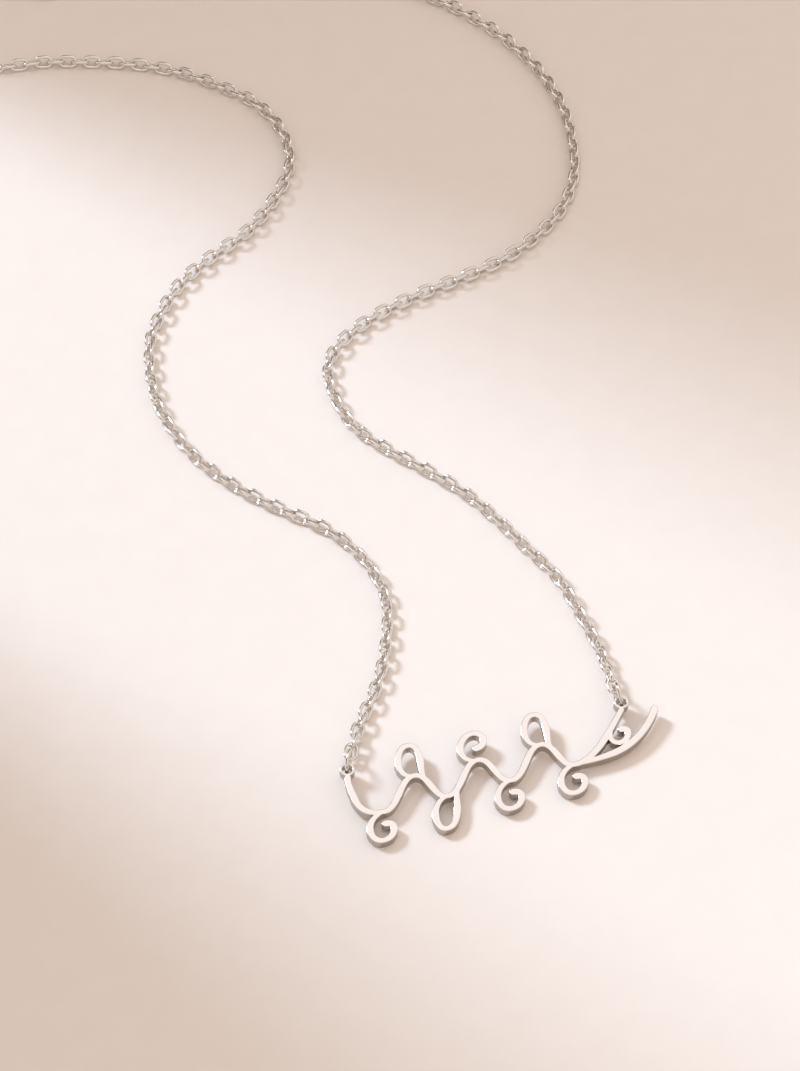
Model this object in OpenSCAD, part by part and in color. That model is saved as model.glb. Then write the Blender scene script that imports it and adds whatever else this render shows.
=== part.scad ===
// Nameplate necklace lying on a flat surface, in millimetres, with +Z up.
// The origin is under the middle of the whole loop, on the surface that it lies on.
// The plate is a flat cut flourish that spells nothing. Each upper end has an eyelet, a jump ring
// and one strand of cable chain, and the two strands meet at the clasp.

/* [Nameplate] */
// Distance between the centres of the two eyelets
plate_span = 34; // [30:0.5:38]
// Thickness of the plate
plate_t = 1.15; // [0.9:0.05:1.3]
// Width of the pen line where it is broad
pen_broad = 0.88; // [0.76:0.02:1]
// Width of the pen line where it is thin
pen_thin = 0.68; // [0.56:0.02:0.8]
// Depth of the wave's troughs below the line of the eyelets
trough_depth = 6.8; // [6:0.1:7.6]
// Depth of the wave's crests below the line of the eyelets
crest_depth = 3; // [2.6:0.1:3.6]
// Height of an open curl
curl_h = 3.7; // [3.2:0.1:4]
// Height of a closed drop
drop_h = 4.2; // [3.6:0.1:4.6]
// How far the tail reaches past the right eyelet
tail_reach = 4; // [3:0.1:5]
// Slant of the pen line, as sideways travel for each millimetre of height
slant = 0.22; // [0.1:0.02:0.3]
// Diameter of the eyelet holes
eyelet_hole = 1.2; // [1.15:0.01:1.3]
// Width of metal round each eyelet hole
eyelet_rim = 0.3; // [0.25:0.01:0.35]

/* [Jump rings] */
// Outer diameter of the jump rings
ring_od = 3.4; // [3.35:0.05:3.8]
// Wire diameter of the jump rings
ring_wire = 0.5; // [0.4:0.02:0.5]

/* [Chain] */
// Distance from one link to the next along the chain
link_pitch = 1.67; // [1.62:0.01:1.75]
// Wire diameter of the links
link_wire = 0.45; // [0.4:0.01:0.46]
// Outer width of a link
link_w = 1.8; // [1.75:0.01:1.88]
// Play between one link and the next
link_play = 0.14; // [0.13:0.01:0.16]

/* [Clasp] */
// Outer diameter of the clasp's ring
clasp_od = 6.6; // [6:0.1:7.5]
// Diameter of the clasp's tube
clasp_tube = 1.7; // [1.7:0.02:1.8]
// Diameter of the clasp's gate and of the wire of its eye
clasp_wire = 0.5; // [0.4:0.02:0.5]
// Inner diameter of the clasp's eye
clasp_eye = 1.2; // [1.1:0.05:1.6]
// Diameter of the thumb knob on the clasp
knob_d = 0.9; // [0.7:0.05:1.1]

/* [Lay] */
// Turn of the plate on the surface, from the row axis +X
plate_turn = 17; // [12:1:22]
// Direction of the chain's pull at the left eyelet
left_pull = 82; // [76:1:88]
// Direction of the chain's pull at the right eyelet
right_pull = 106; // [100:1:112]
// Roll of the lying links, to one side and the other by turns
link_roll = 45; // [42:1:48]
// Twist of the lying chain as a whole, which stands every other link up more steeply
lay_twist = -10; // [-12:1:12]

/* [Hidden] */
steel = "silver";
$fn = 32;

// Centre of the left eyelet and of the clasp, and the clasp's direction, on the surface
eyelet_left = [11, -65.5];
clasp_at = [-32, 72.5];
clasp_turn = 0;

// Points that each strand of chain passes on the surface, from its jump ring to the clasp
route_points_left = [
    [12.5, -58], [14.5, -52], [15.5, -46], [15.5, -39], [13, -33], [8.5, -28], [2.5, -24.5],
    [-3, -21], [-8, -16.5], [-11.5, -11.5], [-14, -5.5], [-15, 2.5], [-14, 8], [-11.5, 14],
    [-7.5, 19], [-3, 23.5], [0.5, 29.5], [2.5, 36], [1.5, 42], [-2, 47.5], [-7, 51], [-13, 54],
    [-19, 55.5], [-25.5, 56], [-31.5, 56], [-37.5, 55], [-42.5, 55.5], [-46, 59], [-47, 63.5],
    [-45, 68.5], [-41, 71.5]];
route_points_right = [
    [41.5, -47.5], [39, -41], [36.5, -35.5], [33, -31], [29.5, -26.5], [25.5, -22], [20.5, -18],
    [15.5, -14.5], [12, -11.5], [10, -8.5], [8.5, -4.5], [8, -0.5], [9.5, 3.5], [13, 7.5],
    [18.5, 11.5], [24, 14.5], [30, 18], [34.5, 22], [38.5, 27.5], [40.5, 34], [40.5, 40],
    [39.5, 46.5], [37, 53], [33.5, 58.5], [29, 63.5], [22.5, 68.5], [15, 71.5], [6, 72.5], [-4, 73],
    [-16, 73]];

// Jump rings stand on the surface, and the plate's eyelets lie on the wire inside them
ring_r = (ring_od - ring_wire) / 2;
ring_play = 0.12;
tilt_play = 0.04;
ring_inside = ring_r - ring_wire / 2;
eyelet_to_ring = ring_od / 2 + ring_play - eyelet_hole / 2;
hole_edge = eyelet_to_ring - eyelet_hole / 2;
plate_lift = ring_od / 2 - sqrt(pow(ring_inside - ring_play, 2) - pow(hole_edge, 2)) + tilt_play;

// Centre line of a link: a half circle at each end and a straight side between them
link_l = link_pitch + 2 * link_wire + link_play;
link_end_r = (link_w - link_wire) / 2;
link_side_l = link_l - link_w;

// Height of the chain's middle: lying links, and its rise to the ring and the clasp that hold its ends
steep_roll = link_roll + abs(lay_twist);
lying_z = link_end_r * sin(steep_roll) + link_wire / 2;
ring_twist = 35;
clasp_twist = 33;
twist_run = 4;
ring_rise = 0.46;
clasp_lift = 0.02;
clasp_rise = link_end_r * (sin(link_roll + clasp_twist) - sin(steep_roll)) + clasp_lift;
rise_run = 5;

// Clasp, lying on its tube, with its eye soldered into the tube
clasp_r = (clasp_od - clasp_tube) / 2;
clasp_eye_r = (clasp_eye + clasp_wire) / 2;
eye_seat = 0.4;
clasp_eye_at = clasp_r + clasp_tube / 2 + clasp_eye_r + clasp_wire / 2 - eye_seat;
gate_half = 50;
knob_h = 0.7;
knob_turn = 118;

// Where the first and the last two links of each strand share their middle
ring_hold = sqrt(
    pow(ring_inside - link_play - link_wire / 2, 2) - pow(ring_od / 2 - lying_z - ring_rise, 2));
ring_end = eyelet_to_ring + ring_hold + (link_wire + link_play) / 2;
eye_end = clasp_eye_at + clasp_eye_r - (clasp_wire + link_play) / 2;
gate_end = clasp_r - (clasp_wire + link_play) / 2;

// Half widths of a pen line, and of its root where it is buried in another
broad = pen_broad / 2;
thin = pen_thin / 2;
buried = 0.74 * thin;
pen_steps = 8;
cap_steps = 8;

// Pen lines go through rows of [along, up, heading, half width], with the eyelets on up = 0

function toward(angle) = [cos(angle), sin(angle)];
function turning(a, b) = abs((b - a + 900) % 360 - 180);
function pull(a, b) = norm([b.x - a.x, b.y - a.y]) / (3 * pow(cos(turning(a[2], b[2]) / 4), 2));
function flat(row) = [row.x, row.y];

// Four control points of the curve from one pen row to the next, and a point and a direction on it
function handles(a, b) = [
    flat(a), flat(a) + pull(a, b) * toward(a[2]), flat(b) - pull(a, b) * toward(b[2]), flat(b)];
function on_curve(h, t) =
    pow(1 - t, 3) * h[0] + 3 * pow(1 - t, 2) * t * h[1] + 3 * (1 - t) * t * t * h[2] + pow(t, 3) * h[3];
function along_curve(h, t) =
    pow(1 - t, 2) * (h[1] - h[0]) + 2 * (1 - t) * t * (h[2] - h[1]) + t * t * (h[3] - h[2]);
function leaned(p) = [p.x + slant * p.y, p.y];
function mix(a, b, t) = (1 - t) * a + t * b;

// A pen row part way from one row to the next, which another line starts or ends on
function row_between(a, b, t) =
    let (p = on_curve(handles(a, b), t), d = along_curve(handles(a, b), t))
    [p.x, p.y, atan2(d.y, d.x), buried];

// Points of a pen line on the plate, each as [place, side of the line]
function traced(rows) = [
    for (i = [0 : len(rows) - 2], k = [0 : i < len(rows) - 2 ? pen_steps - 1 : pen_steps])
        let (
            t = k / pen_steps,
            h = handles(rows[i], rows[i + 1]),
            d = leaned(along_curve(h, t)),
            side = [-d.y, d.x] / norm(d))
        [leaned(on_curve(h, t)), side * mix(rows[i][3], rows[i + 1][3], t)]];

// Round end of a pen line, from one side of it to the other
function round_end(p, side) = [
    for (k = [1 : cap_steps - 1])
        let (a = 180 * k / cap_steps)
        p + [side.x * cos(a) - side.y * sin(a), side.x * sin(a) + side.y * cos(a)]];

// Running wave from the left eyelet to the right one, with a trough or a crest at each half wave
half_waves = 6;
first_trough = 4;
last_trough_back = 6.6;
last_trough = plate_span - last_trough_back;
wave_slope = 60;
eyelet_seat = eyelet_hole / 2 + thin + 0.23 * eyelet_rim;
function wave_along(i) = mix(first_trough, last_trough, i / half_waves);
function extreme(i) = [wave_along(i), i % 2 == 0 ? -trough_depth : -crest_depth, 0, thin];
function midway(i) = [
    wave_along(i + 0.5), -(trough_depth + crest_depth) / 2, i % 2 == 0 ? wave_slope : -wave_slope, broad];
entry_bow = 0.62;
wave_in = [
    [0, -eyelet_seat, 264, thin],
    [entry_bow, -0.63 * trough_depth, 284, broad]];
exit_back = 2.8;
exit_inset = 0.1;
wave_out = [
    [plate_span - exit_back, -0.68 * trough_depth, 50, broad],
    [plate_span - exit_inset, -eyelet_seat, 54, thin]];
wave = concat(
    wave_in,
    [for (i = [0 : half_waves - 1], row = [extreme(i), midway(i)]) row],
    [extreme(half_waves)],
    wave_out);

// Ornaments as shares of their height: [along, away from the wave, heading, half width]
curl = [
    [0, 0, 180, buried], [-0.51, 0.51, 270, broad], [-0.08, 1, 0, thin],
    [0.27, 0.65, 90, broad], [0, 0.43, 180, broad]];
drop = [[0, 0, 180, buried], [-0.41, 0.5, 270, broad], [-0.11, 1, 0, thin], [0.23, 0.46, 84, broad]];
bud = [[-0.24, 0.59, 270, thin], [0.17, 1, 0, thin], [0.55, 0.62, 90, broad], [0.28, 0.38, 180, broad]];
drop_close = 0.66;
bud_h = 0.412 * trough_depth;
bud_start = 0.58;

// An ornament at a trough hangs down from it, and one at a crest stands on it
function placed(shape, at, size, side) = [
    for (row = shape)
        [at.x + row.x * size, at.y - side * row.y * size, side * row[2], row[3]]];
function curl_at(i) = placed(curl, extreme(i), curl_h, i % 2 == 0 ? 1 : -1);
function drop_at(i) = concat(
    placed(drop, extreme(i), drop_h, i % 2 == 0 ? 1 : -1),
    [row_between(extreme(i), midway(i), drop_close)]);
bud_root = row_between(wave_out[0], wave_out[1], bud_start);
bud_line = concat([[bud_root.x, bud_root.y, 230, buried]], placed(bud, bud_root, bud_h, 1));

// Tail from the last trough, under the right eyelet and out past it
tail_end = plate_span + tail_reach;
tail_tip = 1.9;
tail = [
    [last_trough, -trough_depth, 0, buried],
    [mix(last_trough, tail_end, 0.46), -0.96 * trough_depth, 9, broad],
    [tail_end + slant * tail_tip - broad, -tail_tip, 66, broad]];

pen_lines = [
    wave, curl_at(0), drop_at(1), drop_at(2), curl_at(3), curl_at(4), drop_at(5), curl_at(6), bud_line, tail];
plate_depth = max([for (rows = pen_lines, q = traced(rows)) abs(q[1].y) - q[0].y]);
plate_tilt = asin(plate_lift / plate_depth);

// Smooth curve through a strand's points, with its ends drawn straight towards what holds them
function bend(p, i, t) =
    let (a = p[i - 1], b = p[i], c = p[i + 1], d = p[i + 2])
    b + t * (c - a) / 2
    + t * t * (2 * a - 5 * b + 4 * c - d) / 2
    + pow(t, 3) * (3 * b - a - 3 * c + d) / 2;
bend_steps = 8;
lead = 4;
function sampled(start, start_turn, points, end, end_turn) =
    let (p = concat(
        [start - lead * toward(start_turn), start], points, [end, end + lead * toward(end_turn)]))
    concat(
        [for (i = [1 : len(p) - 3], k = [0 : bend_steps - 1]) bend(p, i, k / bend_steps)],
        [end]);
function running(points, i = 1, sum = 0, lengths = [0]) =
    i == len(points)
        ? lengths
        : let (next = sum + norm(points[i] - points[i - 1]))
            running(points, i + 1, next, concat(lengths, [next]));

// A strand is [x along it, y along it, its whole length]
function strand(points) =
    let (s = running(points), last = len(s) - 1)
    [[for (i = [0 : last]) [s[i], points[i].x]], [for (i = [0 : last]) [s[i], points[i].y]], s[last]];

eyelet_right = eyelet_left + plate_span * toward(plate_turn);
strand_left = strand(sampled(
    eyelet_left + ring_end * toward(left_pull), left_pull, route_points_left,
    clasp_at - eye_end * toward(clasp_turn), clasp_turn));
strand_right = strand(sampled(
    eyelet_right + ring_end * toward(right_pull), right_pull, route_points_right,
    clasp_at + gate_end * toward(clasp_turn), clasp_turn + 180));

function fade(s, run) = exp(-pow(s / run, 2));
function chain_z(s, whole) =
    lying_z + ring_rise * fade(s, rise_run) + clasp_rise * fade(whole - s, rise_run);
function chain_at(line, s) = [lookup(s, line[0]), lookup(s, line[1]), chain_z(s, line[2])];
function roll_side(i) = i % 2 == 0 ? 1 : -1;
function roll_of(i, count, s, whole) =
    let (by_ring = fade(s, twist_run), by_clasp = fade(whole - s, twist_run))
    roll_side(i) * link_roll + lay_twist * (1 - by_ring - by_clasp)
    - ring_twist * by_ring + roll_side(count - 1) * clasp_twist * by_clasp;

// Part of a wire ring: centre radius r, wire diameter d, from one angle to another
module wire_arc(r, d, from, to) {
    rotate([0, 0, from])
        rotate_extrude(angle = to - from)
            translate([r, 0])
                circle(d = d);
}

module wire_ring(r, d) {
    rotate_extrude()
        translate([r, 0])
            circle(d = d);
}

module link() {
    for (turn = [0, 180])
        rotate([0, 0, turn]) {
            translate([link_side_l / 2, 0, 0])
                wire_arc(link_end_r, link_wire, -90, 90);
            translate([-link_side_l / 2, link_end_r, 0])
                rotate([0, 90, 0])
                    cylinder(d = link_wire, h = link_side_l);
        }
}

// Every link reaches from one shared middle to the next, so neighbours interlock round any bend
module chain(line) {
    count = round(line[2] / link_pitch);
    step = line[2] / count;
    for (i = [0 : count - 1]) {
        near = chain_at(line, i * step);
        far = chain_at(line, (i + 1) * step);
        run = far - near;
        translate((near + far) / 2)
            rotate([0, -asin(run.z / norm(run)), atan2(run.y, run.x)])
                rotate([roll_of(i, count, (i + 0.5) * step, line[2]), 0, 0])
                    link();
    }
}

module pen_line(rows) {
    line = traced(rows);
    last = len(line) - 1;
    polygon(concat(
        [for (q = line) q[0] - q[1]],
        round_end(line[last][0], -line[last][1]),
        [for (i = [last : -1 : 0]) line[i][0] + line[i][1]],
        round_end(line[0][0], line[0][1])));
}

module nameplate() {
    color(steel)
        translate([eyelet_left.x, eyelet_left.y, plate_lift])
            rotate([0, 0, plate_turn])
                rotate([plate_tilt, 0, 0])
                    linear_extrude(plate_t)
                        difference() {
                            union() {
                                for (rows = pen_lines)
                                    pen_line(rows);
                                for (x = [0, plate_span])
                                    translate([x, 0])
                                        circle(d = eyelet_hole + 2 * eyelet_rim);
                            }
                            for (x = [0, plate_span])
                                translate([x, 0])
                                    circle(d = eyelet_hole);
                        }
}

module jump_ring(eyelet, turn) {
    color(steel)
        translate([eyelet.x, eyelet.y, ring_od / 2])
            rotate([0, 0, turn])
                translate([eyelet_to_ring, 0, 0])
                    rotate([90, 0, 0])
                        wire_ring(ring_r, ring_wire);
}

module jump_ring_left() jump_ring(eyelet_left, left_pull);

module jump_ring_right() jump_ring(eyelet_right, right_pull);

module chain_left() {
    color(steel)
        chain(strand_left);
}

module chain_right() {
    color(steel)
        chain(strand_right);
}

module clasp() {
    color(steel)
        translate([clasp_at.x, clasp_at.y, clasp_tube / 2])
            rotate([0, 0, clasp_turn]) {
                wire_ring(clasp_r, clasp_wire);
                wire_arc(clasp_r, clasp_tube, gate_half, 360 - gate_half);
                translate([-clasp_eye_at, 0, 0])
                    wire_ring(clasp_eye_r, clasp_wire);
                rotate([0, 0, knob_turn])
                    translate([clasp_r, 0, 0])
                        rotate([0, 90, 0])
                            cylinder(d = knob_d, h = clasp_tube / 2 + knob_h);
            }
}

nameplate();
jump_ring_left();
jump_ring_right();
chain_left();
chain_right();
clasp();
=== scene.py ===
# Nameplate necklace laid out on a pale surface: the looks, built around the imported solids.
# Everything is in metres, with +Z up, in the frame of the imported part.
import math

import bmesh
import bpy
from mathutils import Matrix, Vector


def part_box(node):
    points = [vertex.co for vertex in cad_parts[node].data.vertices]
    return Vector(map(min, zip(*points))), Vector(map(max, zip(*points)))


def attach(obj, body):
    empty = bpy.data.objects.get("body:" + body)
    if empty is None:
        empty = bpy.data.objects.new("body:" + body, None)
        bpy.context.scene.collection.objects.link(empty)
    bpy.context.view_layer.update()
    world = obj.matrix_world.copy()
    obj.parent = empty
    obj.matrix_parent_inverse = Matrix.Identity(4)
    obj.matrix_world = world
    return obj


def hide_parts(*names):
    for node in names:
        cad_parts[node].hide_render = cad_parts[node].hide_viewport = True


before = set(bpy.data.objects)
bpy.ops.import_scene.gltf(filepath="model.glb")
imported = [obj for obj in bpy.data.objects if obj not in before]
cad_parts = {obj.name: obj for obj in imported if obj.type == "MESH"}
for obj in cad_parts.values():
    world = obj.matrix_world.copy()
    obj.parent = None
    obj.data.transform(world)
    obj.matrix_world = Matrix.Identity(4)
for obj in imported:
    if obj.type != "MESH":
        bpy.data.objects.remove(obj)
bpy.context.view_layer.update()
scene = bpy.context.scene
scene.view_settings.view_transform = "Standard"  # the photo's own plain tones
mm = 0.001
up = Vector((0, 0, 1))
fullTurn = 360
weldGap = 0.001 * mm  # points nearer to each other than this are one
print("frame loaded:", sorted(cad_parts))


def toLinear(hexColour, alpha=True):
    # sRGB hex value, as read off the object, to the linear one that shaders take
    shares = [int(hexColour[i:i + 2], 16) / 255 for i in (1, 3, 5)]
    linear = [s / 12.92 if s <= 0.04045 else ((s + 0.055) / 1.055) ** 2.4 for s in shares]
    return linear + [1] if alpha else linear


def addNode(tree, kind, inputs=None, out=0, **settings):
    # Adds a node with its settings, links or values, and gives back one of its outputs
    node = tree.nodes.new(kind)
    for name, value in settings.items():
        setattr(node, name, value)
    for socket, value in (inputs or {}).items():
        if isinstance(value, bpy.types.NodeSocket):
            tree.links.new(value, node.inputs[socket])
        else:
            node.inputs[socket].default_value = value
    return node.outputs[out] if len(node.outputs) else node


def toward(angle):
    return Vector((math.cos(math.radians(angle)), math.sin(math.radians(angle)), 0))


# Camera

cameraSetup = {
    "place": (0.01722, -0.34633, 0.37923),
    "tilt": 40,  # degrees from straight down, the photo's own angle
    "lens": 134.45,  # mm, a long product lens
    "frame": 36,  # mm, the frame that the lens is for
    "near": 0.01,
    "far": 20,
}


def addCamera():
    data = bpy.data.cameras.new("camera")
    data.lens = cameraSetup["lens"]
    data.sensor_width = cameraSetup["frame"]
    data.clip_start = cameraSetup["near"]
    data.clip_end = cameraSetup["far"]
    camera = bpy.data.objects.new("camera", data)
    camera.location = cameraSetup["place"]
    camera.rotation_euler = (math.radians(cameraSetup["tilt"]), 0, 0)
    scene.collection.objects.link(camera)
    scene.camera = camera


addCamera()
print("camera placed")


# Surface and light

surface = {
    "size": 6.0,
    "colour": "#F8EFE9",
    "shade": "#F4EAE3",
    "mottle": 4 * mm,  # soft mottling of the painted board
    "grain": 0.25 * mm,  # tooth of the paint
    "grainStrength": 0.05,
    "grainDepth": 0.02 * mm,
    "roughness": 0.8,
    "gloss": 0.25,  # specular level, half the usual
}

studio = {
    "sunTurn": 149.3,  # degrees from +X that the low window light comes from
    "sunHeight": 39,
    "sunSpread": 13.5,  # degrees, for the soft edge of its shadows
    "sunStrength": 2.33,
    "sunColour": "#D6EBFF",
    "boxFrom": (-0.3, 0.48, 0.82),  # overhead softbox behind the necklace
    "boxAway": 0.65,
    "boxSize": (0.94, 0.8),
    "boxPower": 0.95,
    "boxColour": "#EDEDFF",
    "domeTop": "#EBDFD4",
    "domeRim": "#5E564F",
    "domeRimHeight": 0.3,  # height of the rim's dark band, as the sine of its elevation
    # Feet of the two edges that the window light passes between
    "cardEdges": ((-0.0989, 0.0845), (-0.1044, 0.0087)),
    "cardLeans": (0.0, 0.186),  # how far each edge leans out of the light's path as it rises
    "cardRaised": 0.025,  # gap under the cards, so that their own feet draw no hard line
    "cardWide": 0.35,
    "cardHigh": 0.3,
    "cardColour": "#94887F",
    "cardRoughness": 0.9,
}


def paintedBoard():
    # Painted board, rolled on: a soft matt surface with a faint tooth and hardly any sheen
    material = bpy.data.materials.new("paintedBoard")
    material.use_nodes = True
    tree = material.node_tree
    tree.nodes.clear()
    place = addNode(tree, "ShaderNodeTexCoord", out="Object")
    mottle = addNode(tree, "ShaderNodeTexNoise", {
        "Vector": place, "Scale": 1 / surface["mottle"], "Detail": 3.0, "Roughness": 0.5},
        out="Fac")
    tooth = addNode(tree, "ShaderNodeTexNoise", {
        "Vector": place, "Scale": 1 / surface["grain"], "Detail": 2.0, "Roughness": 0.6},
        out="Fac")
    colour = addNode(tree, "ShaderNodeMix", {
        "Factor": mottle, "A": toLinear(surface["shade"]), "B": toLinear(surface["colour"])},
        out="Result", data_type="RGBA")
    bump = addNode(tree, "ShaderNodeBump", {
        "Height": tooth, "Strength": surface["grainStrength"], "Distance": surface["grainDepth"]})
    shader = addNode(tree, "ShaderNodeBsdfPrincipled", {
        "Base Color": colour, "Normal": bump, "Roughness": surface["roughness"],
        "Specular IOR Level": surface["gloss"]})
    addNode(tree, "ShaderNodeOutputMaterial", {"Surface": shader})
    return material


def addSurface():
    half = surface["size"] / 2
    mesh = bpy.data.meshes.new("surface")
    corners = [(-half, -half, 0), (half, -half, 0), (half, half, 0), (-half, half, 0)]
    mesh.from_pydata(corners, [], [(0, 1, 2, 3)])
    mesh.materials.append(paintedBoard())
    board = bpy.data.objects.new("surface", mesh)
    scene.collection.objects.link(board)


def greyCard():
    # Grey card: quite matt, so that it throws back only a faint, even light
    material = bpy.data.materials.new("greyCard")
    material.use_nodes = True
    shader = material.node_tree.nodes["Principled BSDF"]
    shader.inputs["Base Color"].default_value = toLinear(studio["cardColour"])
    shader.inputs["Roughness"].default_value = studio["cardRoughness"]
    return material


def addCards():
    # Two upright cards shade the far and the near left corner, ever softer as they run on.
    # The camera doesn't see the cards, so they hide nothing from behind.
    grey = greyCard()
    across = toward(studio["sunTurn"] - 90)
    low, high = studio["cardRaised"], studio["cardHigh"]
    edges = zip(studio["cardEdges"], studio["cardLeans"], (1, -1))
    for number, ((x, y), lean, side) in enumerate(edges):
        foot = Vector((x, y, 0))
        end = foot + side * studio["cardWide"] * across
        edge = up + side * lean * across
        mesh = bpy.data.meshes.new("card")
        mesh.from_pydata(
            [foot + low * edge, end + low * up, end + high * up, foot + high * edge],
            [], [(0, 1, 2, 3)])
        mesh.materials.append(grey)
        board = bpy.data.objects.new("card%d" % (number + 1), mesh)
        board.visible_camera = False
        scene.collection.objects.link(board)


def addDome():
    # Plain studio dome: bright overhead, with a darker rim that draws thin lines on polished metal
    world = bpy.data.worlds.new("studio")
    world.use_nodes = True
    tree = world.node_tree
    tree.nodes.clear()
    way = addNode(tree, "ShaderNodeTexCoord", out="Generated")
    height = addNode(tree, "ShaderNodeSeparateXYZ", {0: way}, out="Z")
    share = addNode(tree, "ShaderNodeMapRange", {
        "Value": height, "From Min": 0.0, "From Max": studio["domeRimHeight"]},
        interpolation_type="SMOOTHSTEP")
    colour = addNode(tree, "ShaderNodeMix", {
        "Factor": share, "A": toLinear(studio["domeRim"]), "B": toLinear(studio["domeTop"])},
        out="Result", data_type="RGBA")
    glow = addNode(tree, "ShaderNodeBackground", {"Color": colour, "Strength": 1.0})
    addNode(tree, "ShaderNodeOutputWorld", {"Surface": glow})
    scene.world = world


def addLights():
    sun = bpy.data.lights.new("window", "SUN")
    sun.energy = studio["sunStrength"]
    sun.angle = math.radians(studio["sunSpread"])
    sun.color = toLinear(studio["sunColour"], alpha=False)
    box = bpy.data.lights.new("softbox", "AREA")
    box.shape = "RECTANGLE"
    box.size, box.size_y = studio["boxSize"]
    box.energy = studio["boxPower"]
    box.color = toLinear(studio["boxColour"], alpha=False)
    height = math.radians(studio["sunHeight"])
    sunWay = math.cos(height) * toward(studio["sunTurn"]) + math.sin(height) * up
    boxWay = Vector(studio["boxFrom"]).normalized()
    for data, way in ((sun, sunWay), (box, boxWay)):
        lamp = bpy.data.objects.new(data.name, data)
        lamp.location = way * studio["boxAway"]
        lamp.rotation_euler = way.to_track_quat("Z", "Y").to_euler()
        lamp.visible_camera = False
        scene.collection.objects.link(lamp)


addSurface()
addCards()
addDome()
addLights()
print("surface and light set")


# Metals

finish = {
    "silver": "#F3EFEB",
    "worn": "#EAE5E0",
    # painted shade: the cut wall's colours are darker than the silver, for the shaded floor that
    # the walls reflect
    "cut": ("#AFA69F", "#C0B7B0"),
    "wireRoughness": (0.08, 0.16),
    "tubeRoughness": (0.07, 0.18),
    "faceRoughness": (0.20, 0.27),
    "edgeRoughness": (0.14, 0.22),
    "wallRoughness": (0.22, 0.34),
    "lapSpacing": 0.12 * mm,  # real lap lines are finer, so they are drawn as coarse as shows
    "lapStretch": (0.06, 1, 1),  # drawn out along the plate
    "lapTurn": 17,  # degrees, the plate's own slant
    "lapDepth": 0.0006 * mm,
    "cutSpacing": 0.09 * mm,  # real cutting lines are finer too
    "cutStretch": (1, 1, 0.08),  # drawn out upright
    "wireGrain": 0.3 * mm,  # unevenness that tumbling leaves on drawn wire
    "polishGrain": 0.5 * mm,  # and buffing on the tube and the plate's corner
    "grainDepth": 0.001 * mm,
    "grainStrength": 0.3,
    "cloud": 3 * mm,  # patches of slightly worn silver
}

noiseRange = (0.3, 0.7)  # where most values of a noise lie


def metal(name, roughness, scale, stretch=(1, 1, 1), turn=0.0, depth=0.0, colours=None):
    # Sterling silver: a fine noise, stretched along the way it was worked, roughens it unevenly
    dull, bright = colours or (finish["worn"], finish["silver"])
    material = bpy.data.materials.new(name)
    material.use_nodes = True
    tree = material.node_tree
    tree.nodes.clear()
    place = addNode(tree, "ShaderNodeTexCoord", out="Object")
    turned = addNode(tree, "ShaderNodeMapping", {
        "Vector": place, "Rotation": (0, 0, math.radians(turn)), "Scale": stretch})
    grain = addNode(tree, "ShaderNodeTexNoise", {
        "Vector": turned, "Scale": 1 / scale, "Detail": 3.0, "Roughness": 0.6}, out="Fac")
    cloud = addNode(tree, "ShaderNodeTexNoise", {
        "Vector": place, "Scale": 1 / finish["cloud"], "Detail": 2.0}, out="Fac")
    colour = addNode(tree, "ShaderNodeMix", {
        "Factor": cloud, "A": toLinear(dull), "B": toLinear(bright)},
        out="Result", data_type="RGBA")
    rough = addNode(tree, "ShaderNodeMapRange", {
        "Value": grain, "From Min": noiseRange[0], "From Max": noiseRange[1],
        "To Min": roughness[0], "To Max": roughness[1]})
    bump = addNode(tree, "ShaderNodeBump", {
        "Height": grain, "Strength": finish["grainStrength"], "Distance": depth})
    shader = addNode(tree, "ShaderNodeBsdfPrincipled", {
        "Base Color": colour, "Metallic": 1.0, "Roughness": rough, "Normal": bump})
    addNode(tree, "ShaderNodeOutputMaterial", {"Surface": shader})
    return material


# Lapped sheet: fine lines along the plate, so that its face is bright but not a mirror
lappedFace = metal(
    "lappedSilverFace", finish["faceRoughness"], finish["lapSpacing"], finish["lapStretch"],
    turn=-finish["lapTurn"], depth=finish["lapDepth"])
# Laser-cut edge, tumbled: faint upright lines and a softer gloss; its darker colours are painted
# shade
shadedCutWall = metal(
    "shadedCutSilverWall", finish["wallRoughness"], finish["cutSpacing"], finish["cutStretch"],
    depth=finish["grainDepth"], colours=finish["cut"])
# Buffed corner between them, which catches the light as a thin line
buffedEdge = metal("buffedSilverEdge", finish["edgeRoughness"], finish["polishGrain"])
# Drawn and tumbled wire: close to a mirror
drawnWire = metal(
    "drawnSilverWire", finish["wireRoughness"], finish["wireGrain"], depth=finish["grainDepth"])
# Tube, bent and barrel polished: close to a mirror too, with the odd soft patch
polishedTube = metal(
    "polishedSilverTube", finish["tubeRoughness"], finish["polishGrain"],
    depth=finish["grainDepth"])
print("metals mixed")


# Nameplate

plateSizes = {
    "bevel": 0.07,  # buffed corner, mm
    "bevelSteps": 2,
    "cornerTurn": 30,  # degrees of turn past which an outline corner stays sharp
    "smoothSteps": 3,
    "shortSide": 0.16,  # mm, sides shorter than this are smooth as they are
    "weld": 0.002,  # mm
    "shadeTurn": 40,  # degrees of bend past which the wall is shaded sharp
}

# How far a face's normal rises, from 0 for upright to 1 for level
rises = {
    "tops": 0.9,  # CAD faces above this give the plate's tilt
    "flat": 0.999,  # and those this close to that tilt are its top
    "face": 0.98,  # finished faces above this are the sheet's face
    "wall": 0.1,  # and those below this its wall, with the buffed corner between
}


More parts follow.
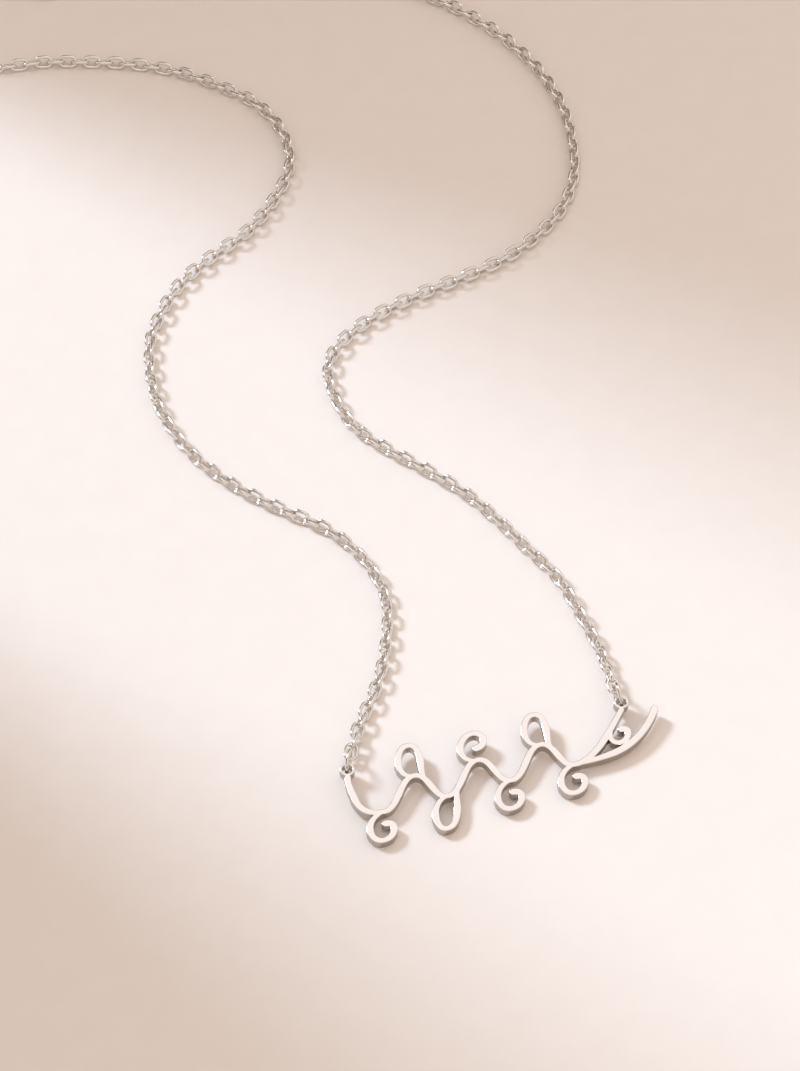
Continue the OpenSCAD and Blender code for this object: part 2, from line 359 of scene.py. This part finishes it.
def plateFrame():
    # Outline loops of the CAD plate's top face in its own plane, in mm, and that plane's axes
    work = bmesh.new()
    work.from_mesh(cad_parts["nameplate"].data)
    bmesh.ops.remove_doubles(work, verts=work.verts, dist=weldGap)
    work.normal_update()
    normal = Vector()
    for face in work.faces:
        if face.normal.z > rises["tops"]:
            normal += face.normal * face.calc_area()
    normal.normalize()
    along = up.cross(normal).normalized()
    across = normal.cross(along)
    top = {face.index for face in work.faces if face.normal.dot(normal) > rises["flat"]}
    following = {}
    for face in work.faces:
        if face.index in top:
            for corner in face.loops:
                if sum(other.index in top for other in corner.edge.link_faces) == 1:
                    following[corner.vert] = corner.link_loop_next.vert
    loops = []
    while following:
        start = vert = next(iter(following))
        loop = []
        while vert in following:
            loop.append(Vector((vert.co.dot(along), vert.co.dot(across))) / mm)
            vert = following.pop(vert)
        loops.append(loop)
        if vert is not start:
            print("outline left open at", vert.co)
    heights = [vert.co.dot(normal) / mm for vert in work.verts]
    work.free()
    return loops, Matrix((along, across, normal)).transposed(), min(heights), max(heights)


def smoothLoop(loop):
    # Rounds each side of the outline through its ends, except at true corners
    count = len(loop)
    sides = [loop[(i + 1) % count] - loop[i] for i in range(count)]
    turns = [sides[i - 1].angle_signed(sides[i]) for i in range(count)]
    sharp = math.radians(plateSizes["cornerTurn"])

    def heading(i, side):
        turn = turns[i]
        if abs(turn) > sharp:
            return side.normalized()
        share = sides[i - 1].length / (sides[i - 1].length + sides[i].length)
        into = sides[i - 1].normalized()
        angle = -turn * share
        return Vector((into.x * math.cos(angle) - into.y * math.sin(angle),
                       into.x * math.sin(angle) + into.y * math.cos(angle)))

    rounded = []
    for i in range(count):
        a, b, side = loop[i], loop[(i + 1) % count], sides[i]
        steps = plateSizes["smoothSteps"] if side.length > plateSizes["shortSide"] else 1
        pull = side.length / 3
        p1 = a + heading(i, side) * pull
        p2 = b - heading((i + 1) % count, side) * pull
        for step in range(steps):
            t = step / steps
            s = 1 - t
            rounded.append(s ** 3 * a + 3 * s * s * t * p1 + 3 * s * t * t * p2 + t ** 3 * b)
    return rounded


def addPlate():
    loops, axes, low, high = plateFrame()
    bevel = plateSizes["bevel"]
    outline = bpy.data.curves.new("plateOutline", "CURVE")
    outline.dimensions = "2D"
    outline.fill_mode = "BOTH"
    outline.extrude = (high - low) / 2 - bevel
    outline.bevel_depth = bevel
    outline.bevel_resolution = plateSizes["bevelSteps"]
    outline.offset = -bevel
    for loop in loops:
        points = smoothLoop(loop)
        spline = outline.splines.new("POLY")
        spline.points.add(len(points) - 1)
        spline.points.foreach_set("co", [x for p in points for x in (p.x, p.y, 0, 1)])
        spline.use_cyclic_u = True
    maker = bpy.data.objects.new("plateMaker", outline)
    scene.collection.objects.link(maker)
    graph = bpy.context.evaluated_depsgraph_get()
    mesh = bpy.data.meshes.new_from_object(maker.evaluated_get(graph), depsgraph=graph)
    bpy.data.objects.remove(maker)

    mesh.materials.clear()  # comes first, as it sets every face back to the first material
    for material in (lappedFace, shadedCutWall, buffedEdge):
        mesh.materials.append(material)
    work = bmesh.new()
    work.from_mesh(mesh)
    bmesh.ops.remove_doubles(work, verts=work.verts, dist=plateSizes["weld"])
    bmesh.ops.recalc_face_normals(work, faces=work.faces)
    work.normal_update()
    for face in work.faces:
        rise = abs(face.normal.z)
        face.material_index = 0 if rise > rises["face"] else 1 if rise < rises["wall"] else 2
        face.smooth = True
    sharp = math.radians(plateSizes["shadeTurn"])
    for edge in work.edges:  # the flat face, its corner and the wall are shaded apart
        kinds = {face.material_index for face in edge.link_faces}
        edge.smooth = len(kinds) == 1 and edge.calc_face_angle(0) < sharp
    work.to_mesh(mesh)
    work.free()
    mesh.transform(Matrix.Translation((0, 0, (low + high) / 2)))
    mesh.transform(axes.to_4x4() @ Matrix.Scale(mm, 4))

    plate = bpy.data.objects.new("nameplateSheet", mesh)
    scene.collection.objects.link(plate)
    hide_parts("nameplate")
    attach(plate, "root")
    print("nameplate cut:", len(loops), "loops,", len(mesh.polygons), "faces")


addPlate()


# Jump rings

ringSizes = {
    "wire": 0.5,  # mm
    "outer": 3.4,
    "seam": 1.2,  # degrees, the hairline where the wire's ends butt together
    "seamTurn": 200,
    "pullLeft": 82,  # directions of the chain's pull, in degrees from +X
    "pullRight": 106,
    "steps": 73,  # points round the ring
    "sides": 16,
    "shadeTurn": 50,  # degrees of bend past which any ring is shaded sharp
}


def newTree(name, sockets):
    # A Geometry Nodes tree with named inputs, and those inputs as sockets
    tree = bpy.data.node_groups.new(name, "GeometryNodeTree")
    tree.interface.new_socket(name="Geometry", in_out="INPUT", socket_type="NodeSocketGeometry")
    for label, kind in sockets.items():
        tree.interface.new_socket(name=label, in_out="INPUT", socket_type="NodeSocket" + kind)
    tree.interface.new_socket(name="Geometry", in_out="OUTPUT", socket_type="NodeSocketGeometry")
    entry = tree.nodes.new("NodeGroupInput")
    return tree, entry.outputs


def growPiece(name, data, tree, values):
    # Runs the tree on a maker object and keeps the result as a plain mesh
    maker = bpy.data.objects.new(name + "Maker", data)
    scene.collection.objects.link(maker)
    modifier = maker.modifiers.new("grow", "NODES")
    modifier.node_group = tree
    for item in tree.interface.items_tree:
        if item.in_out == "INPUT" and item.name in values:
            modifier[item.identifier] = values[item.name]
    graph = bpy.context.evaluated_depsgraph_get()
    mesh = bpy.data.meshes.new_from_object(maker.evaluated_get(graph), depsgraph=graph)
    maker.modifiers.remove(modifier)
    bpy.data.objects.remove(maker)
    piece = bpy.data.objects.new(name, mesh)
    scene.collection.objects.link(piece)
    return piece


def ringTree():
    tree, given = newTree("wireRing", {
        "Radius": "Float", "Wire": "Float", "Start": "Float", "Sweep": "Float", "Steps": "Int",
        "Sides": "Int", "Metal": "Material"})
    arc = addNode(tree, "GeometryNodeCurveArc", {
        "Resolution": given["Steps"], "Radius": given["Radius"], "Start Angle": given["Start"],
        "Sweep Angle": given["Sweep"]}, mode="RADIUS")
    half = addNode(tree, "ShaderNodeMath", {0: given["Wire"], 1: 0.5}, operation="MULTIPLY")
    section = addNode(tree, "GeometryNodeCurvePrimitiveCircle", {
        "Resolution": given["Sides"], "Radius": half}, mode="RADIUS")
    tube = addNode(tree, "GeometryNodeCurveToMesh", {
        "Curve": arc, "Profile Curve": section, "Fill Caps": True})
    real = addNode(tree, "GeometryNodeRealizeInstances", {"Geometry": tube})
    dressed = addNode(tree, "GeometryNodeSetMaterial", {
        "Geometry": real, "Material": given["Metal"]})
    addNode(tree, "NodeGroupOutput", {0: dressed})
    return tree


def wireRing(name, tree, place, radius, wire, start, sweep, steps, sides, silver=drawnWire):
    # Wire bent round a middle: radius, wire in mm, start and sweep in degrees
    ring = growPiece(name, bpy.data.meshes.new(name), tree, {
        "Radius": radius * mm, "Wire": wire * mm, "Start": math.radians(start),
        "Sweep": math.radians(sweep), "Steps": steps, "Sides": sides, "Metal": silver})
    if sweep == fullTurn:  # a closed ring: its end faces go, and its ends are welded
        work = bmesh.new()
        work.from_mesh(ring.data)
        caps = [face for face in work.faces if len(face.verts) > 4]
        bmesh.ops.delete(work, geom=caps, context="FACES_ONLY")
        rims = [edge for edge in work.edges if edge.is_boundary]
        ends = list({vert for edge in rims for vert in edge.verts})
        bmesh.ops.remove_doubles(work, verts=ends, dist=wire * mm / sides)
        work.to_mesh(ring.data)
        work.free()
    ring.data.transform(place)
    ring.data.shade_smooth()
    ring.data.set_sharp_from_angle(angle=math.radians(ringSizes["shadeTurn"]))
    return ring


def addJumpRings(tree):
    for side in ("Left", "Right"):
        node = "jump_ring_" + side.lower()
        low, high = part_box(node)
        across = toward(ringSizes["pull" + side])
        stand = Matrix((across, up, across.cross(up))).transposed().to_4x4()
        ring = wireRing(
            "jumpRing" + side, tree, Matrix.Translation((low + high) / 2) @ stand,
            (ringSizes["outer"] - ringSizes["wire"]) / 2, ringSizes["wire"],
            start=ringSizes["seamTurn"], sweep=fullTurn - ringSizes["seam"],
            steps=ringSizes["steps"], sides=ringSizes["sides"])
        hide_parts(node)
        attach(ring, "root")
    print("jump rings closed")


wireTree = ringTree()
addJumpRings(wireTree)


# Chain

chainSizes = {
    "wire": 0.45,  # mm
    "linkWidth": 1.8,
    "linkLength": 2.71,
    "pitch": 1.67,
    "play": 0.14,
    "roll": 45,  # degrees, links lean to one side and the other by turns
    "layTwist": -10,  # degrees that the lying chain is turned as a whole
    "ringTwist": -25,  # what the ring adds to that
    "claspTwist": 33,  # what the clasp turns the last links by in its place
    "twistRun": 4,  # mm over which both fade
    "ringRise": 0.46,  # climb of the chain's middle to the ring
    "claspGap": 0.02,  # between the last link and the surface
    "riseRun": 5,  # mm over which the climbs fade
    "lead": 4,  # mm beyond each end, where a helper point steers its bend
    "bendSteps": 8,  # points between two marks of the route
    "endSteps": 6,  # facets round each end of a link
    "wireSides": 8,
}

claspSizes = {
    "centre": (-32, 72.5),  # mm
    "outer": 6.6,
    "tube": 1.7,
    "wire": 0.5,
    "eyeHole": 1.2,
    "eyeSeat": 0.4,
    "gateHalf": 50,  # degrees
    "tubeRound": 0.3,  # mm, rounding of the tube's open ends
    "roundSteps": 4,
    "roundTurn": 60,  # degrees, so that only those ends are rounded
    "knob": 0.9,
    "knobNeck": 0.56,
    "knobFoot": 0.2,  # mm out from the tube's middle, well inside it
    "knobHeight": 0.7,
    "knobTurn": 118,
    "knobSteps": 24,
    "slot": 0.4,  # groove that the knob runs in
    "slotTurn": 50,  # degrees that it runs on from the knob
    "eyeStart": 3,  # degrees, keeps the eye's facets off the tube's
    "tubeFacets": (80, 32),  # along and round the tube
    "wireFacets": (73, 20),
    "slotFacets": (33, 12),
    "shadeTurn": 40,  # degrees of bend past which it is shaded sharp
}

# Points that each strand passes on the surface, from its jump ring to the clasp, in mm
routeLeft = [
    (12.5, -58), (14.5, -52), (15.5, -46), (15.5, -39), (13, -33), (8.5, -28), (2.5, -24.5),
    (-3, -21), (-8, -16.5), (-11.5, -11.5), (-14, -5.5), (-15, 2.5), (-14, 8), (-11.5, 14),
    (-7.5, 19), (-3, 23.5), (0.5, 29.5), (2.5, 36), (1.5, 42), (-2, 47.5), (-7, 51), (-13, 54),
    (-19, 55.5), (-25.5, 56), (-31.5, 56), (-37.5, 55), (-42.5, 55.5), (-46, 59), (-47, 63.5),
    (-45, 68.5), (-41, 71.5)]
routeRight = [
    (41.5, -47.5), (39, -41), (36.5, -35.5), (33, -31), (29.5, -26.5), (25.5, -22), (20.5, -18),
    (15.5, -14.5), (12, -11.5), (10, -8.5), (8.5, -4.5), (8, -0.5), (9.5, 3.5), (13, 7.5),
    (18.5, 11.5), (24, 14.5), (30, 18), (34.5, 22), (38.5, 27.5), (40.5, 34), (40.5, 40),
    (39.5, 46.5), (37, 53), (33.5, 58.5), (29, 63.5), (22.5, 68.5), (15, 71.5), (6, 72.5),
    (-4, 73), (-16, 73)]


def claspPlan():
    # Middle radius of the tube and of the eye, and how far apart their middles are, in mm
    radius = (claspSizes["outer"] - claspSizes["tube"]) / 2
    eyeRadius = (claspSizes["eyeHole"] + claspSizes["wire"]) / 2
    eyeAt = (radius + claspSizes["tube"] / 2 + eyeRadius + claspSizes["wire"] / 2
             - claspSizes["eyeSeat"])
    return radius, eyeRadius, eyeAt


def bend(points, i, t):
    # Smooth line through the points: the place a share t of the way from point i to the next
    a, b, c, d = points[i - 1:i + 3]
    return (b + t * (c - a) / 2 + t * t * (2 * a - 5 * b + 4 * c - d) / 2
            + t ** 3 * (3 * b - a - 3 * c + d) / 2)


def fade(distance, run):
    # From 1 at the strand's end to nothing beyond the run
    return math.exp(-(distance / run) ** 2)


def strandRoute(start, startTurn, points, end, endTurn):
    # The chain's middle as a smooth line, which climbs to the ring and the clasp at its ends
    lead = chainSizes["lead"]
    inner = [Vector((x, y, 0)) for x, y in points]
    marks = [start - lead * toward(startTurn), start, *inner, end, end + lead * toward(endTurn)]
    steps = chainSizes["bendSteps"]
    line = [bend(marks, i, k / steps) for i in range(1, len(marks) - 2) for k in range(steps)]
    line.append(end)
    gone = [0.0]
    for a, b in zip(line, line[1:]):
        gone.append(gone[-1] + (b - a).length)
    whole = gone[-1]
    for point, s in zip(line, gone):
        point.z = (lyingHeight() + chainSizes["ringRise"] * fade(s, chainSizes["riseRun"])
                   + claspRise() * fade(whole - s, chainSizes["riseRun"]))
    return line, whole


def linkEndRadius():
    return (chainSizes["linkWidth"] - chainSizes["wire"]) / 2


def lyingHeight():
    # Height of the chain's middle where its steeper links rest on the surface
    lean = math.radians(chainSizes["roll"] + abs(chainSizes["layTwist"]))
    return linkEndRadius() * math.sin(lean) + chainSizes["wire"] / 2


def claspRise():
    lean = math.radians(chainSizes["roll"] + chainSizes["claspTwist"])
    return (linkEndRadius() * math.sin(lean) + chainSizes["wire"] / 2 - lyingHeight()
            + chainSizes["claspGap"])


def chainTree():
    tree, given = newTree("cableChain", {
        "Links": "Int", "Wire": "Float", "Link width": "Float", "Link length": "Float",
        "End steps": "Int", "Wire sides": "Int", "Roll": "Float", "Lay twist": "Float",
        "Ring twist": "Float", "Clasp twist": "Float", "Twist run": "Float", "Metal": "Material"})
    index = addNode(tree, "GeometryNodeInputIndex")

    # One link: half a circle at each end with a straight side between, swept with round wire
    perEnd = addNode(tree, "ShaderNodeMath", {0: given["End steps"], 1: 1.0}, operation="ADD")
    corners = addNode(tree, "ShaderNodeMath", {0: perEnd, 1: 2.0}, operation="MULTIPLY")
    loop = addNode(tree, "GeometryNodeCurvePrimitiveCircle", {
        "Resolution": corners, "Radius": 1.0}, mode="RADIUS")
    farEnd = addNode(tree, "ShaderNodeMath", {
        0: index, 1: given["End steps"]}, operation="GREATER_THAN")
    step = addNode(tree, "ShaderNodeMath", {0: index, 1: farEnd}, operation="SUBTRACT")
    share = addNode(tree, "ShaderNodeMath", {0: step, 1: given["End steps"]}, operation="DIVIDE")
    angle = addNode(tree, "ShaderNodeMath", {
        0: share, 1: math.pi, 2: -math.pi / 2}, operation="MULTIPLY_ADD")
    span = addNode(tree, "ShaderNodeMath", {
        0: given["Link width"], 1: given["Wire"]}, operation="SUBTRACT")
    radius = addNode(tree, "ShaderNodeMath", {0: span, 1: 0.5}, operation="MULTIPLY")
    straight = addNode(tree, "ShaderNodeMath", {
        0: given["Link length"], 1: given["Link width"]}, operation="SUBTRACT")
    side = addNode(tree, "ShaderNodeMath", {0: 0.5, 1: farEnd}, operation="SUBTRACT")
    cosine = addNode(tree, "ShaderNodeMath", {0: angle}, operation="COSINE")
    sine = addNode(tree, "ShaderNodeMath", {0: angle}, operation="SINE")
    reach = addNode(tree, "ShaderNodeMath", {0: cosine, 1: radius}, operation="MULTIPLY")
    x = addNode(tree, "ShaderNodeMath", {0: side, 1: straight, 2: reach}, operation="MULTIPLY_ADD")
    y = addNode(tree, "ShaderNodeMath", {0: sine, 1: radius}, operation="MULTIPLY")
    corner = addNode(tree, "ShaderNodeCombineXYZ", {"X": x, "Y": y})
    stadium = addNode(tree, "GeometryNodeSetPosition", {"Geometry": loop, "Position": corner})
    wireRadius = addNode(tree, "ShaderNodeMath", {0: given["Wire"], 1: 0.5}, operation="MULTIPLY")
    section = addNode(tree, "GeometryNodeCurvePrimitiveCircle", {
        "Resolution": given["Wire sides"], "Radius": wireRadius}, mode="RADIUS")
    link = addNode(tree, "GeometryNodeCurveToMesh", {"Curve": stadium, "Profile Curve": section})

    # Every link reaches from one shared middle on the route to the next
    nearShare = addNode(tree, "ShaderNodeMath", {0: index, 1: given["Links"]}, operation="DIVIDE")
    after = addNode(tree, "ShaderNodeMath", {0: index, 1: 1.0}, operation="ADD")
    farShare = addNode(tree, "ShaderNodeMath", {0: after, 1: given["Links"]}, operation="DIVIDE")
    near = addNode(tree, "GeometryNodeSampleCurve", {
        "Curves": given["Geometry"], "Factor": nearShare}, out="Position", mode="FACTOR")
    far = addNode(tree, "GeometryNodeSampleCurve", {
        "Curves": given["Geometry"], "Factor": farShare}, out="Position", mode="FACTOR")
    middle = addNode(tree, "ShaderNodeMix", {
        "Factor": 0.5, "A": near, "B": far}, out=1, data_type="VECTOR")
    run = addNode(tree, "ShaderNodeVectorMath", {0: far, 1: near}, operation="SUBTRACT")
    points = addNode(tree, "GeometryNodePoints", {"Count": given["Links"], "Position": middle})

    # Roll to one side and the other by turns, with a slow twist that the ring and the clasp add to
    length = addNode(tree, "GeometryNodeCurveLength", {"Curve": given["Geometry"]})
    gone = addNode(tree, "ShaderNodeMath", {0: nearShare, 1: length}, operation="MULTIPLY")
    left = addNode(tree, "ShaderNodeMath", {0: length, 1: gone}, operation="SUBTRACT")
    odd = addNode(tree, "ShaderNodeMath", {0: index, 1: 2.0}, operation="MODULO")
    lean = addNode(tree, "ShaderNodeMath", {0: odd, 1: -2.0, 2: 1.0}, operation="MULTIPLY_ADD")
    roll = addNode(tree, "ShaderNodeMath", {
        0: lean, 1: given["Roll"], 2: given["Lay twist"]}, operation="MULTIPLY_ADD")
    for distance, twist in ((gone, given["Ring twist"]), (left, given["Clasp twist"])):
        ratio = addNode(tree, "ShaderNodeMath", {
            0: distance, 1: given["Twist run"]}, operation="DIVIDE")
        square = addNode(tree, "ShaderNodeMath", {0: ratio, 1: ratio}, operation="MULTIPLY")
        minus = addNode(tree, "ShaderNodeMath", {0: square, 1: -1.0}, operation="MULTIPLY")
        faded = addNode(tree, "ShaderNodeMath", {0: minus}, operation="EXPONENT")
        roll = addNode(tree, "ShaderNodeMath", {
            0: faded, 1: twist, 2: roll}, operation="MULTIPLY_ADD")

    flat = addNode(tree, "FunctionNodeAlignRotationToVector", {"Vector": run}, axis="X")
    level = addNode(tree, "FunctionNodeAlignRotationToVector", {
        "Rotation": flat, "Vector": (0, 0, 1)}, axis="Z", pivot_axis="X")
    rolling = addNode(tree, "FunctionNodeAxisAngleToRotation", {"Axis": (1, 0, 0), "Angle": roll})
    turned = addNode(tree, "FunctionNodeRotateRotation", {
        "Rotation": level, "Rotate By": rolling}, rotation_space="LOCAL")
    links = addNode(tree, "GeometryNodeInstanceOnPoints", {
        "Points": points, "Instance": link, "Rotation": turned})
    real = addNode(tree, "GeometryNodeRealizeInstances", {"Geometry": links})
    dressed = addNode(tree, "GeometryNodeSetMaterial", {
        "Geometry": real, "Material": given["Metal"]})
    addNode(tree, "NodeGroupOutput", {0: dressed})
    return tree


def addStrand(name, node, tree, route, whole):
    count = round(whole / chainSizes["pitch"])
    curve = bpy.data.curves.new(name + "Route", "CURVE")
    curve.dimensions = "3D"
    spline = curve.splines.new("POLY")
    spline.points.add(len(route) - 1)
    spline.points.foreach_set("co", [x for p in route for x in (*(p * mm), 1)])
    lastSide = 1 if count % 2 else -1
    strand = growPiece(name, curve, tree, {
        "Links": count, "Wire": chainSizes["wire"] * mm,
        "Link width": chainSizes["linkWidth"] * mm,
        "Link length": chainSizes["linkLength"] * mm, "End steps": chainSizes["endSteps"],
        "Wire sides": chainSizes["wireSides"], "Roll": math.radians(chainSizes["roll"]),
        "Lay twist": math.radians(chainSizes["layTwist"]),
        "Ring twist": math.radians(chainSizes["ringTwist"]),
        "Clasp twist": math.radians(lastSide * chainSizes["claspTwist"] - chainSizes["layTwist"]),
        "Twist run": chainSizes["twistRun"] * mm, "Metal": drawnWire})
    strand.data.shade_smooth()
    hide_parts(node)
    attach(strand, "root")
    print(name, "linked:", count, "links,", len(strand.data.polygons), "faces")


def addChain():
    tree = chainTree()
    inside = ringSizes["outer"] / 2 - ringSizes["wire"]
    ringHold = math.sqrt(
        (inside - chainSizes["play"] - chainSizes["wire"] / 2) ** 2
        - (ringSizes["outer"] / 2 - lyingHeight() - chainSizes["ringRise"]) ** 2)
    claspRadius, eyeRadius, eyeAt = claspPlan()
    wireRoom = (claspSizes["wire"] + chainSizes["play"]) / 2
    clasp = Vector((*claspSizes["centre"], 0))
    ends = {
        "Left": (routeLeft, clasp - (eyeAt + eyeRadius - wireRoom) * toward(0), 0),
        "Right": (routeRight, clasp + (claspRadius - wireRoom) * toward(0), 180)}
    for side, (points, end, endTurn) in ends.items():
        low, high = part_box("jump_ring_" + side.lower())
        ringAt = (low + high) / 2 / mm
        ringAt.z = 0
        pull = ringSizes["pull" + side]
        start = ringAt + (ringHold + (chainSizes["wire"] + chainSizes["play"]) / 2) * toward(pull)
        route, whole = strandRoute(start, pull, points, end, endTurn)
        addStrand("chain" + side, "chain_" + side.lower(), tree, route, whole)


addChain()


# Clasp

def turnedKnob():
    # Thumb knob: half its outline, from its foot inside the tube to its domed head, spun round.
    # Each point is its radius and its height above the tube's middle, in mm.
    head, neck = claspSizes["knob"] / 2, claspSizes["knobNeck"] / 2
    foot, rise = claspSizes["knobFoot"], claspSizes["tube"] / 2
    top = rise + claspSizes["knobHeight"]
    outline = [
        (0, foot), (neck, foot), (neck, rise), (neck + 0.03, rise + 0.12),
        (head - 0.03, rise + 0.3), (head, rise + 0.37), (head, top - 0.17),
        (head - 0.04, top - 0.08), (head - 0.13, top - 0.02), (0, top)]
    work = bmesh.new()
    verts = [work.verts.new((r * mm, 0, h * mm)) for r, h in outline]
    edges = [work.edges.new(pair) for pair in zip(verts, verts[1:])]
    bmesh.ops.spin(work, geom=verts + edges, cent=(0, 0, 0), axis=(0, 0, 1), angle=2 * math.pi,
                   steps=claspSizes["knobSteps"], use_merge=True)
    bmesh.ops.remove_doubles(work, verts=work.verts, dist=weldGap)
    bmesh.ops.recalc_face_normals(work, faces=work.faces)
    mesh = bpy.data.meshes.new("thumbKnob")
    work.to_mesh(mesh)
    work.free()
    mesh.materials.append(polishedTube)
    knob = bpy.data.objects.new("thumbKnob", mesh)
    scene.collection.objects.link(knob)
    return knob


def addClasp(tree):
    # A bent tube with a slot cut in it, joined with the gate wire inside it, the eye and the knob
    radius, eyeRadius, eyeAt = claspPlan()
    wire, half = claspSizes["wire"], claspSizes["gateHalf"]
    middle = Matrix.Translation(Vector((*claspSizes["centre"], claspSizes["tube"] / 2)) * mm)
    steps, sides = claspSizes["tubeFacets"]
    tube = wireRing("springRing", tree, middle, radius, claspSizes["tube"], half,
                    fullTurn - 2 * half, steps, sides, silver=polishedTube)
    steps, sides = claspSizes["wireFacets"]
    gate = wireRing("gate", tree, middle, radius, wire, fullTurn / 2, fullTurn, steps, sides)
    eye = wireRing("eye", tree, middle @ Matrix.Translation((-eyeAt * mm, 0, 0)), eyeRadius, wire,
                   claspSizes["eyeStart"], fullTurn, steps, sides)
    steps, sides = claspSizes["slotFacets"]
    slot = wireRing("slot", tree, middle, radius + claspSizes["tube"] / 2, claspSizes["slot"],
                    claspSizes["knobTurn"], claspSizes["slotTurn"], steps, sides,
                    silver=polishedTube)
    knob = turnedKnob()
    knob.data.transform(
        middle @ Matrix.Rotation(math.radians(claspSizes["knobTurn"]), 4, "Z")
        @ Matrix.Translation((radius * mm, 0, 0)) @ Matrix.Rotation(math.pi / 2, 4, "Y"))
    soften = tube.modifiers.new("roundEnds", "BEVEL")
    soften.width = claspSizes["tubeRound"] * mm
    soften.segments = claspSizes["roundSteps"]
    soften.limit_method = "ANGLE"
    soften.angle_limit = math.radians(claspSizes["roundTurn"])
    for part, way in ((slot, "DIFFERENCE"), (gate, "UNION"), (eye, "UNION"), (knob, "UNION")):
        joining = tube.modifiers.new(part.name, "BOOLEAN")
        joining.operation = way
        joining.solver = "EXACT"
        joining.material_mode = "TRANSFER"
        joining.object = part
    graph = bpy.context.evaluated_depsgraph_get()
    mesh = bpy.data.meshes.new_from_object(tube.evaluated_get(graph), depsgraph=graph)
    for part in (tube, slot, gate, eye, knob):
        bpy.data.objects.remove(part)
    mesh.shade_smooth()
    mesh.set_sharp_from_angle(angle=math.radians(claspSizes["shadeTurn"]))
    clasp = bpy.data.objects.new("springRingClasp", mesh)
    scene.collection.objects.link(clasp)
    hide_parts("clasp")
    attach(clasp, "root")
    print("clasp joined:", len(mesh.polygons), "faces")


addClasp(wireTree)
